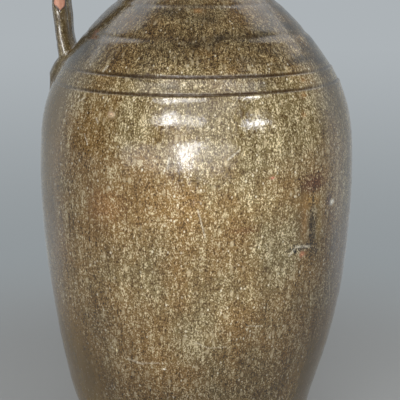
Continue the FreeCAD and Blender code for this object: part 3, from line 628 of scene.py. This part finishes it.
# ------------------------------ shader building
class Shader:
    """A material, or a world, whose nodes are added by calls that return sockets."""

    def __init__(self, name, kind="materials"):
        self.material = getattr(bpy.data, kind).new(name)
        self.material.use_nodes = True
        self.tree = self.material.node_tree
        self.tree.nodes.clear()

    def node(self, kind, inputs=None, **settings):
        """A new node, its inputs linked to sockets or set to plain values."""
        node = self.tree.nodes.new(f"ShaderNode{kind}")
        for key, value in settings.items():
            setattr(node, key, value)
        for key, value in (inputs or {}).items():
            if isinstance(value, bpy.types.NodeSocket):
                self.tree.links.new(value, node.inputs[key])
            else:
                node.inputs[key].default_value = value
        return node

    def math(self, operation, *values, clamp=False):
        return self.node("Math", dict(enumerate(values)), operation=operation, use_clamp=clamp).outputs[0]

    def times(self, a, b, clamp=False):
        return self.math("MULTIPLY", a, b, clamp=clamp)

    def vector(self, operation, *values, output="Vector"):
        return self.node("VectorMath", dict(enumerate(values)), operation=operation).outputs[output]

    def sum(self, first, *shares):
        """first plus share times (value - 0.5) for each (value, share)."""
        for value, share in shares:
            centred = self.math("SUBTRACT", value, 0.5)
            first = self.math("ADD", first, self.times(centred, share))
        return first

    def scaled(self, vector, scale):
        """A vector times another, axis by axis."""
        return self.vector("MULTIPLY", vector, scale)

    def up(self, vector):
        return self.node("SeparateXYZ", {0: vector}).outputs[2]

    def attribute(self, name, output="Fac"):
        return self.node("Attribute", attribute_name=name).outputs[output]

    def noise(self, where, scale, detail=2.0, roughness=0.5):
        inputs = {"Vector": where, "Scale": scale, "Detail": detail, "Roughness": roughness}
        return self.node("TexNoise", inputs).outputs[0]

    def cells(self, where, scale):
        """Random cells: the distance from a cell's middle, and a random value for each cell."""
        cell = self.node("TexVoronoi", {"Vector": where, "Scale": scale}).outputs
        return cell["Distance"], self.node("SeparateColor", {0: cell["Color"]}).outputs[0]

    def step(self, value, low, high, to_low=0.0, to_high=1.0):
        """A soft step between two results while the value goes from low to high."""
        inputs = {"Value": value, "From Min": low, "From Max": high, "To Min": to_low, "To Max": to_high}
        return self.node("MapRange", inputs, interpolation_type="SMOOTHSTEP").outputs[0]

    def mix(self, share, a, b):
        return self.node("Mix", {0: share, 6: a, 7: b}, data_type="RGBA").outputs[2]

    def shaded(self, colour, factor):
        """A colour, or a vector, times one number."""
        return self.node("VectorMath", {0: colour, "Scale": factor}, operation="SCALE").outputs[0]

    def bump(self, height, distance, strength):
        return self.node("Bump", {"Height": height, "Distance": distance, "Strength": strength}).outputs[0]

    def finish(self, **inputs):
        """The finished material, with these inputs of its one shader."""
        named = {key.replace("_", " "): value for key, value in inputs.items()}
        shader = self.node("BsdfPrincipled", named)
        self.tree.links.new(shader.outputs[0], self.node("OutputMaterial").inputs[0])
        return self.material


def tone(red, green, blue):
    """A colour as it shows on a screen, 0 to 255, in Blender's linear values."""
    def linear(value):
        value /= 255
        return value / 12.92 if value <= 0.04045 else ((value + 0.055) / 1.055) ** 2.4
    return linear(red), linear(green), linear(blue), 1.0


GLAZE_IOR, RING_IOR = 1.8, 1.3
GROUND_BROWN, GROUND_OLIVE, PLAIN_AND_REFLECTED_GROUND = tone(159, 122, 66), tone(139, 121, 80), tone(152, 122, 62)
IRON_DARK, CREAM, DOME_CREAM = tone(80, 55, 19), tone(247, 229, 186), tone(240, 216, 164)
FLECK, PAINTED_SPARKLE, SCRATCH = tone(230, 210, 168), tone(251, 240, 212), tone(232, 222, 198)
RING_BROWN, FAINT_BROWN = tone(70, 49, 20), tone(84, 60, 32)
HANDLE_GREY, TAIL_PAINTED_REFLECTION, SCORCHED = tone(112, 96, 78), tone(108, 104, 90), tone(44, 28, 18)
SALMON, PALE_SALMON = tone(194, 126, 98), tone(226, 170, 142)
SLIP, PALE_SLIP = tone(62, 38, 24), tone(96, 62, 38)
CLAY, PALE_CLAY, DARK_SAND, PALE_SAND = (
    tone(150, 108, 76), tone(188, 146, 108), tone(84, 60, 42), tone(214, 184, 148))
CORK, PALE_CORK, CORK_GRAIN, CORK_PIT = (
    tone(150, 108, 70), tone(206, 166, 120), tone(112, 76, 46), tone(62, 38, 22))


def mottle(paint, flow, warm=0.0, plain=0.0):
    """Ash glaze over brown, cream and dark flecks that ran down the wall, with painted sparkles of light.
    Returns (colour, grain).
    """
    run = paint.scaled(flow, (1.1, 1.1, 0.75))
    fine = paint.noise(run, 900, 1.5, 0.65)
    speck = paint.noise(run, 400, 2, 0.55)
    runs = paint.noise(paint.scaled(flow, (1, 1, 0.09)), 150, 3, 0.6)
    trail = paint.noise(paint.scaled(flow, (1, 1, 0.16)), 330, 2, 0.6)
    cloud = paint.noise(flow, 24, 4, 0.65)
    patch = paint.sum(paint.noise(flow, 11, 4, 0.6), (cloud, 0.3))
    hue = paint.math("SUBTRACT", patch, paint.times(warm, 0.10))
    body = paint.mix(paint.step(hue, 0.34, 0.66), GROUND_BROWN, GROUND_OLIVE)
    # partly painted reflection: the plain zones take a smooth ground that stands in for a mirrored surface
    # low on the sides and at the rims
    body = paint.mix(paint.step(plain, 0.1, 0.9, 0, 0.8), body, PLAIN_AND_REFLECTED_GROUND)
    dome = paint.step(plain, -0.1, -1.0)
    grain = paint.sum(fine, (speck, 0.46), (runs, 0.22), (trail, 0.28), (cloud, 0.26))
    soften = paint.math("ADD", paint.step(plain, 0.1, 0.9, 1.1, 0.32), paint.times(dome, 0.35))
    middle = paint.step(plain, -0.1, -1.0, 0.5, 0.445)
    grain = paint.math("MULTIPLY_ADD", paint.math("SUBTRACT", grain, 0.5), soften, middle)
    dark = paint.mix(paint.step(grain, 0.27, 0.50), IRON_DARK, body)
    colour = paint.mix(paint.step(grain, 0.52, 0.76), dark, paint.mix(dome, CREAM, DOME_CREAM))
    distance, chance = paint.cells(paint.scaled(flow, (1, 1, 0.55)), 215.0)
    ragged = paint.step(paint.sum(distance, (fine, 0.5)), 0.40, 0.16)
    fleck = paint.times(ragged, paint.step(chance, 0.78, 0.90))
    fleck = paint.times(fleck, soften, clamp=True)
    colour = paint.mix(paint.times(fleck, 0.65), colour, FLECK)
    # painted highlight: sparse near-white dots in the colour stand in for sparkles of light on the glaze
    distance, chance = paint.cells(run, 360.0)
    painted_sparkle = paint.times(paint.step(distance, 0.36, 0.20), paint.step(chance, 0.92, 0.97))
    colour = paint.mix(paint.times(painted_sparkle, soften, clamp=True), colour, PAINTED_SPARKLE)
    return colour, grain


# marks on the wall: (turn, height mm, half turn, half height mm, colour, strength)
SPOTS = [(43.8, 256.6, 6.0, 9.5, (92, 52, 24), 0.9), (42.5, 243, 6.0, 8.0, (160, 122, 58), 0.65),
         (52.8, 240, 2.0, 7.0, (70, 48, 38), 0.8), (54.9, 237.4, 1.6, 2.8, (220, 214, 198), 0.95),
         (43.9, 222, 2.0, 26, (60, 46, 22), 0.8), (47.2, 221, 1.6, 18, (140, 116, 66), 0.5),
         (39.7, 228, 1.8, 22, (158, 120, 70), 0.5), (38.0, 206, 5.5, 4.0, (70, 62, 50), 0.7),
         (39.2, 200.6, 1.6, 2.8, (190, 130, 96), 0.85), (36.3, 204.3, 1.2, 1.8, (30, 22, 16), 1.0),
         (46.3, 201, 1.2, 4.0, (50, 36, 28), 0.7),
         (26.2, 266.3, 1.2, 1.4, (206, 132, 108), 0.9), (1.6, 391.0, 3.4, 1.7, (166, 120, 72), 0.65),
         (43.7, 326.4, 2.0, 3.0, (172, 118, 62), 0.4), (41.1, 311.8, 1.6, 3.0, (172, 118, 62), 0.4),
         (46.3, 337.3, 1.6, 2.4, (172, 118, 62), 0.4), (-31.5, 242, 8.0, 16, (158, 108, 58), 0.4),
         (-30.4, 314, 1.6, 2.4, (240, 208, 170), 0.7), (15.6, 226.3, 5.5, 3.2, (128, 88, 44), 0.6),
         (-12.0, 109.0, 0.75, 0.9, (252, 248, 236), 1.0), (-30.9, 120.4, 0.5, 2.2, (236, 222, 180), 0.9)]
# scratches: (turn, height mm) at each end, half width mm, strength
SCRATCHES = [(0.8, 244.4, 3.1, 222.9, 0.50, 0.65), (10.6, 282.5, 14.6, 289.7, 0.55, 0.9),
             (-36.5, 310.1, -35.6, 307.0, 0.65, 0.8), (0.5, 133.8, 4.5, 129.1, 0.50, 0.4),
             (4.5, 129.1, 11.1, 129.3, 0.45, 0.3),
             (-26.4, 114.5, -20.2, 111.6, 0.75, 0.5), (-20.2, 112.5, -13.8, 114.2, 0.55, 0.4),
             (36.2, 207.8, 43.0, 205.5, 0.80, 0.7), (33.6, 201.5, 35.6, 206.0, 0.80, 0.6),
             (18.5, 146.3, 24.4, 144.5, 0.50, 0.45), (56.6, 178, 60.2, 152, 0.50, 0.25),
             (-40.1, 345.2, -39.0, 348.7, 0.85, 1.0), (-47.5, 321, -44.5, 324.5, 0.5, 0.6),
             (-41.0, 297, -39.5, 291.5, 0.55, 0.7), (-8.5, 284, -9.0, 276, 0.8, 0.7)]


def marked(paint, colour, grain):
    """Adds the wall's own blemishes to a colour."""
    place = paint.attribute("place", "Vector")
    loose = paint.times(paint.math("SUBTRACT", grain, 0.5), 3.0)
    depth = paint.step(grain, 0.3, 0.7, 0.5, 1.7)
    break_up = paint.step(grain, 0.30, 0.60, 0.25, 1)
    for turn, height, half_turn, half_height, shade, strength in SPOTS:
        gap = paint.vector("SUBTRACT", place, (turn, height, 0))
        gap = paint.scaled(gap, (1 / half_turn, 1 / half_height, 0))
        gap = paint.math("ADD", paint.vector("LENGTH", gap, output="Value"), loose)
        shade = paint.shaded(tone(*shade)[:3], depth)
        colour = paint.mix(paint.step(gap, 1.2, 0.4, 0, strength), colour, shade)
    spread = (math.radians(BELLY_RADIUS / MM), 1, 0)  # mm on the belly for each degree, and mm up
    even = paint.scaled(place, spread)
    for turn, low, end_turn, high, half, strength in SCRATCHES:
        start, end = (np.array((t, h, 0)) * spread for t, h in ((turn, low), (end_turn, high)))
        run = end - start
        gap = paint.vector("SUBTRACT", even, tuple(start))
        share = paint.vector("DOT_PRODUCT", gap, tuple(run / run.dot(run)), output="Value")
        share = paint.times(share, 1.0, clamp=True)  # no further than the ends
        gap = paint.vector("DISTANCE", gap, paint.shaded(tuple(run), share), output="Value")
        line = paint.times(paint.step(gap, 2 * half, 0.3 * half, 0, strength), break_up)
        colour = paint.mix(line, colour, SCRATCH)
    return colour


# ------------------------------ the materials
def wall_glaze():
    paint = Shader("wall_glaze")
    flow = paint.attribute("flow", "Vector")
    ring = paint.attribute("ring")
    colour, grain = mottle(paint, flow, paint.attribute("warm"), paint.attribute("plain"))
    ragged = paint.sum(ring, (paint.noise(flow, 420, 3, 0.65), 1.2), (grain, 0.5))
    colour = paint.mix(paint.step(ragged, 0.20, 1.10), colour, RING_BROWN)
    faint = paint.sum(paint.attribute("faint"), (paint.noise(flow, 180, 3, 0.6), 0.9))
    colour = paint.mix(paint.step(faint, 0.5, 1.15, 0, 0.5), colour, FAINT_BROWN)
    # painted shade and painted highlight: the shade field darkens the sides and the low wall and lightens a
    # few spots, over the glaze's own smears and dark dome
    colour = paint.shaded(colour, paint.math("ADD", paint.attribute("shade"), 1.0))
    colour = marked(paint, colour, grain)
    uneven = paint.noise(paint.scaled(flow, (1, 1, 0.6)), 340, 2, 0.5)
    height = paint.sum(paint.noise(paint.scaled(flow, (1, 1, 0.7)), 150), (grain, 0.3), (uneven, 0.15))
    pitted = paint.times(ring, paint.noise(flow, 620, 2, 0.6))
    height = paint.math("ADD", height, paint.times(pitted, 2.2))
    matt = paint.step(paint.noise(paint.scaled(flow, (1, 1, 0.5)), 520, 2, 0.6), 0.49, 0.61, 0.045, 0.26)
    rough = paint.math("ADD", matt, paint.step(grain, 0.35, 0.75, 0, 0.03))
    rough = paint.math("ADD", rough, paint.step(ragged, 0.7, 1.4, 0, 0.4))
    dulled = paint.step(ragged, 0.5, 1.3, GLAZE_IOR, RING_IOR)
    return paint.finish(Base_Color=colour, Roughness=rough, IOR=dulled,
                        Normal=paint.bump(height, 0.16 * MM, 1.0))


def handle_glaze():
    paint = Shader("handle_glaze")
    flow = paint.attribute("flow", "Vector")
    colour, grain = mottle(paint, flow, 0.0, 0.25)
    cloud = paint.noise(flow, 70, 3, 0.6)
    colour = paint.mix(paint.step(cloud, 0.42, 0.62, 0.1, 0.6), colour, HANDLE_GREY)
    colour = paint.shaded(colour, paint.step(cloud, 0.35, 0.65, 0.50, 0.66))
    # painted reflection: the lower wad turns grey, standing in for the pale background mirrored at grazing
    # angles
    colour = paint.mix(paint.step(paint.up(flow), 0.352, 0.334, 0, 0.3), colour, TAIL_PAINTED_REFLECTION)
    bare = paint.sum(paint.attribute("bare"), (paint.noise(flow, 500, 3, 0.65), 0.5))
    clay = paint.mix(paint.noise(flow, 600, 3), SALMON, PALE_SALMON)
    rim = paint.times(paint.step(bare, 0.08, 0.34), paint.step(bare, 0.55, 0.85, 1, 0))
    colour = paint.mix(paint.step(bare, 0.35, 0.6), colour, clay)
    colour = paint.mix(paint.times(rim, 0.85), colour, SCORCHED)
    height = paint.sum(paint.noise(flow, 160), (grain, 0.5))
    return paint.finish(Base_Color=colour, Roughness=paint.step(bare, 0.4, 0.6, 0.13, 0.62), IOR=GLAZE_IOR,
                        Normal=paint.bump(height, 0.25 * MM, 0.35))


def liner_glaze():
    paint = Shader("liner_glaze")
    where = paint.node("TexCoord").outputs["Object"]
    colour, _ = mottle(paint, where)
    slip = paint.mix(paint.noise(where, 90, 3), SLIP, PALE_SLIP)
    wander = paint.sum(paint.up(where), (paint.noise(where, 120), 0.012))
    colour = paint.mix(paint.step(wander, LIP_TOP - 0.016, LIP_TOP - 0.004), slip, colour)
    return paint.finish(Base_Color=colour, Roughness=0.16, IOR=GLAZE_IOR,
                        Normal=paint.bump(paint.noise(where, 160), 0.25 * MM, 0.3))


def bare_clay():
    paint = Shader("clay")
    where = paint.node("TexCoord").outputs["Object"]
    base = paint.mix(paint.noise(where, 60, 4, 0.6), CLAY, PALE_CLAY)
    sand = paint.noise(where, 1500, 2, 0.6)
    colour = paint.mix(paint.step(sand, 0.60, 0.72, 0, 0.7), base, DARK_SAND)
    colour = paint.mix(paint.step(sand, 0.40, 0.28, 0, 0.6), colour, PALE_SAND)
    height = paint.sum(sand, (paint.noise(where, 300, 3), 1.0))
    return paint.finish(Base_Color=colour, Roughness=0.72, Normal=paint.bump(height, 0.3 * MM, 0.5))


def cork_bark():
    paint = Shader("cork")
    where = paint.node("TexCoord").outputs["Object"]
    grains, _ = paint.cells(where, 900)
    base = paint.mix(paint.noise(where, 220, 4, 0.65), CORK, PALE_CORK)
    colour = paint.mix(paint.step(grains, 0.35, 0.65, 0, 0.35), base, CORK_GRAIN)
    colour = paint.mix(paint.step(paint.attribute("pit"), 0.25, 0.8, 0, 0.9), colour, CORK_PIT)
    height = paint.noise(where, 900, 3)
    return paint.finish(Base_Color=colour, Roughness=0.78, Normal=paint.bump(height, 0.3 * MM, 0.6))


# ------------------------------ camera, floor and light
def polar(turn, radius, height):
    """A point at a turn from the side that faces the camera."""
    angle = FACING + math.radians(turn)
    return Vector((radius * math.cos(angle), radius * math.sin(angle), height))


# the camera, fitted to the jug's outline: metres, degrees downwards, and the lens in mm
CAMERA_DISTANCE, CAMERA_HEIGHT, CAMERA_ASIDE, CAMERA_DROP = 0.9529, 0.4384, 0.0035, 12.84
SENSOR_WIDTH, LENS = 36, 99
# the background near the floor and higher up, and what only gloss sees of the room
NEAR_BACK, FAR_BACK = tone(145, 151, 154), tone(173, 179, 183)
SIDE_GLOW, DIM_ROOM = tone(206, 210, 214), tone(96, 98, 100)
FLOOR_REACH, FLOOR_GREY = 4.0, tone(178, 180, 180)
AMBIENT, AMBIENT_LEVEL = (0.95, 0.98, 1.0, 1), 0.20
LAMP_AIM = 0.03  # how far above the belly the lamps point


def add_camera():
    data = bpy.data.cameras.new("camera")
    data.sensor_width, data.lens = SENSOR_WIDTH, LENS
    camera = bpy.data.objects.new("camera", data)
    bpy.context.scene.collection.objects.link(camera)
    right = Vector((-math.sin(FACING), math.cos(FACING), 0))
    camera.location = polar(0, CAMERA_DISTANCE, CAMERA_HEIGHT) + right * CAMERA_ASIDE
    camera.rotation_euler = (math.radians(90 - CAMERA_DROP), 0, FACING + math.pi / 2)
    bpy.context.scene.camera = camera


def mirrored_room(paint, direction, ahead):
    """What gloss sees in a direction: a pale wall behind, brighter low at its sides, and what is ahead."""
    front = paint.vector("DOT_PRODUCT", direction, tuple(polar(0, 1, 0)), output="Value")
    low = paint.step(paint.up(direction), 0.10, 0.45, 1, 0)
    wall = paint.mix(paint.times(paint.step(front, -0.80, -0.40), low), FAR_BACK, SIDE_GLOW)
    return paint.mix(paint.step(front, -0.48, -0.05), wall, ahead)


def add_floor():
    """A plain pale floor that runs into the pale background beyond the shadow."""
    reach = FLOOR_REACH
    corners = [(-reach, -reach, 0), (reach, -reach, 0), (reach, reach, 0), (-reach, reach, 0)]
    floor = new_object("floor", corners, [(0, 1, 2, 3)])
    paint = Shader("floor")
    where = paint.node("TexCoord").outputs["Object"]
    away = paint.vector("LENGTH", where, output="Value")
    plain = paint.node("BsdfDiffuse", {"Color": FLOOR_GREY}).outputs[0]
    far = paint.math("DIVIDE", paint.math("LOGARITHM", away, 2.0), 3.0)
    rays = paint.node("LightPath").outputs
    shown = paint.mix(paint.step(far, -0.25, 0.75), NEAR_BACK, FAR_BACK)
    direction = paint.vector("NORMALIZE", where)
    colour = paint.mix(rays["Is Glossy Ray"], shown, mirrored_room(paint, direction, NEAR_BACK))
    glow = paint.node("Emission", {"Color": colour}).outputs[0]
    seen = paint.math("MAXIMUM", rays["Is Camera Ray"], rays["Is Glossy Ray"])
    seen = paint.math("MAXIMUM", seen, rays["Is Transmission Ray"])
    share = paint.times(seen, paint.step(away, 0.25, 0.7))
    mixed = paint.node("MixShader", {0: share, 1: plain, 2: glow}).outputs[0]
    paint.tree.links.new(mixed, paint.node("OutputMaterial").inputs[0])
    floor.data.materials.append(paint.material)


def add_world():
    """Even ambient light, the pale background for the camera, and the mirrored room for gloss."""
    paint = Shader("world", "worlds")
    rays = paint.node("LightPath").outputs
    seen = paint.math("MAXIMUM", rays["Is Camera Ray"], rays["Is Transmission Ray"])
    where = paint.node("TexCoord").outputs["Generated"]
    ambient = paint.node("Background", {"Color": AMBIENT, "Strength": AMBIENT_LEVEL}).outputs[0]
    shown = paint.node("Background", {"Color": FAR_BACK, "Strength": 1.0}).outputs[0]
    room = mirrored_room(paint, where, DIM_ROOM)
    mirrored = paint.node("Background", {"Color": room, "Strength": 1.0}).outputs[0]
    mixed = paint.node("MixShader", {0: rays["Is Glossy Ray"], 1: ambient, 2: mirrored}).outputs[0]
    mixed = paint.node("MixShader", {0: seen, 1: mixed, 2: shown}).outputs[0]
    paint.tree.links.new(mixed, paint.node("OutputWorld").inputs[0])
    bpy.context.scene.world = paint.material


def add_light(name, turn, rise, distance, width, height, radiance):
    """A soft rectangular lamp aimed at the belly from a turn and a rise in degrees, at a radiance."""
    data = bpy.data.lights.new(name, "AREA")
    data.shape, data.size, data.size_y = "RECTANGLE", width, height
    data.energy = radiance * width * height * math.pi
    lamp = bpy.data.objects.new(name, data)
    bpy.context.scene.collection.objects.link(lamp)
    target = Vector((0, 0, BELLY_Z + LAMP_AIM))
    level = distance * math.cos(math.radians(rise))
    lamp.location = polar(turn, level, target.z + distance * math.sin(math.radians(rise)))
    lamp.rotation_euler = (lamp.location - target).to_track_quat("Z", "Y").to_euler()


# ------------------------------ the making
def dress(piece, body, slot, material, *nodes):
    """Gives a piece its finish and its place in the frame, instead of the CAD nodes it stands for."""
    piece.data.materials.append(material)
    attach(piece, body)
    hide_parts(*nodes)


# the lamps: name, turn, rise, distance, width, height, radiance
LAMPS = [("flash", -6, 1.0, 2.0, 0.31, 0.19, 11), ("flash_edge", -2, 6.0, 2.0, 0.72, 0.14, 7),
         ("window_left", -13, 25.5, 2.2, 1.40, 0.27, 4.8), ("window_pane", -20, 25.5, 2.15, 0.31, 0.28, 7),
         ("window_right", 43, 20.0, 2.2, 0.62, 0.22, 15), ("ceiling_left", -38, 46, 2.5, 1.3, 0.80, 1.0),
         ("ceiling", 2, 43, 2.4, 2.3, 0.95, 1.05), ("ceiling_right", 44, 46, 2.5, 1.3, 0.80, 1.2),
         ("wide_glow", -12, 1.0, 2.2, 3.7, 0.42, 1.4), ("room_glow", 2, 14.5, 2.3, 1.9, 1.5, 0.8),
         ("room_left", -150, 48, 2.6, 2.6, 1.5, 0.8), ("room_right", 150, 48, 2.6, 2.6, 1.5, 0.8)]

add_camera()
add_floor()
add_world()
for lamp in LAMPS:
    add_light(*lamp)

clay = bare_clay()
dress(make_coat(), "jug", "wall_glaze", wall_glaze(), "outer_glaze")
dress(make_lower_clay(), "jug", "clay", clay, "lower_section")
dress(make_upper_clay(), "jug", "clay", clay, "upper_section")
dress(make_handle(), "jug", "handle_glaze", handle_glaze(), *HANDLE_NODES)
dress(make_cork(), "cork", "cork", cork_bark(), "cork_stopper")
for node, material in (("neck", clay), ("liner_glaze", liner_glaze())):
    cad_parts[node].data.materials.clear()
    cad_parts[node].data.materials.append(material)

bpy.context.scene.view_settings.view_transform = "Standard"
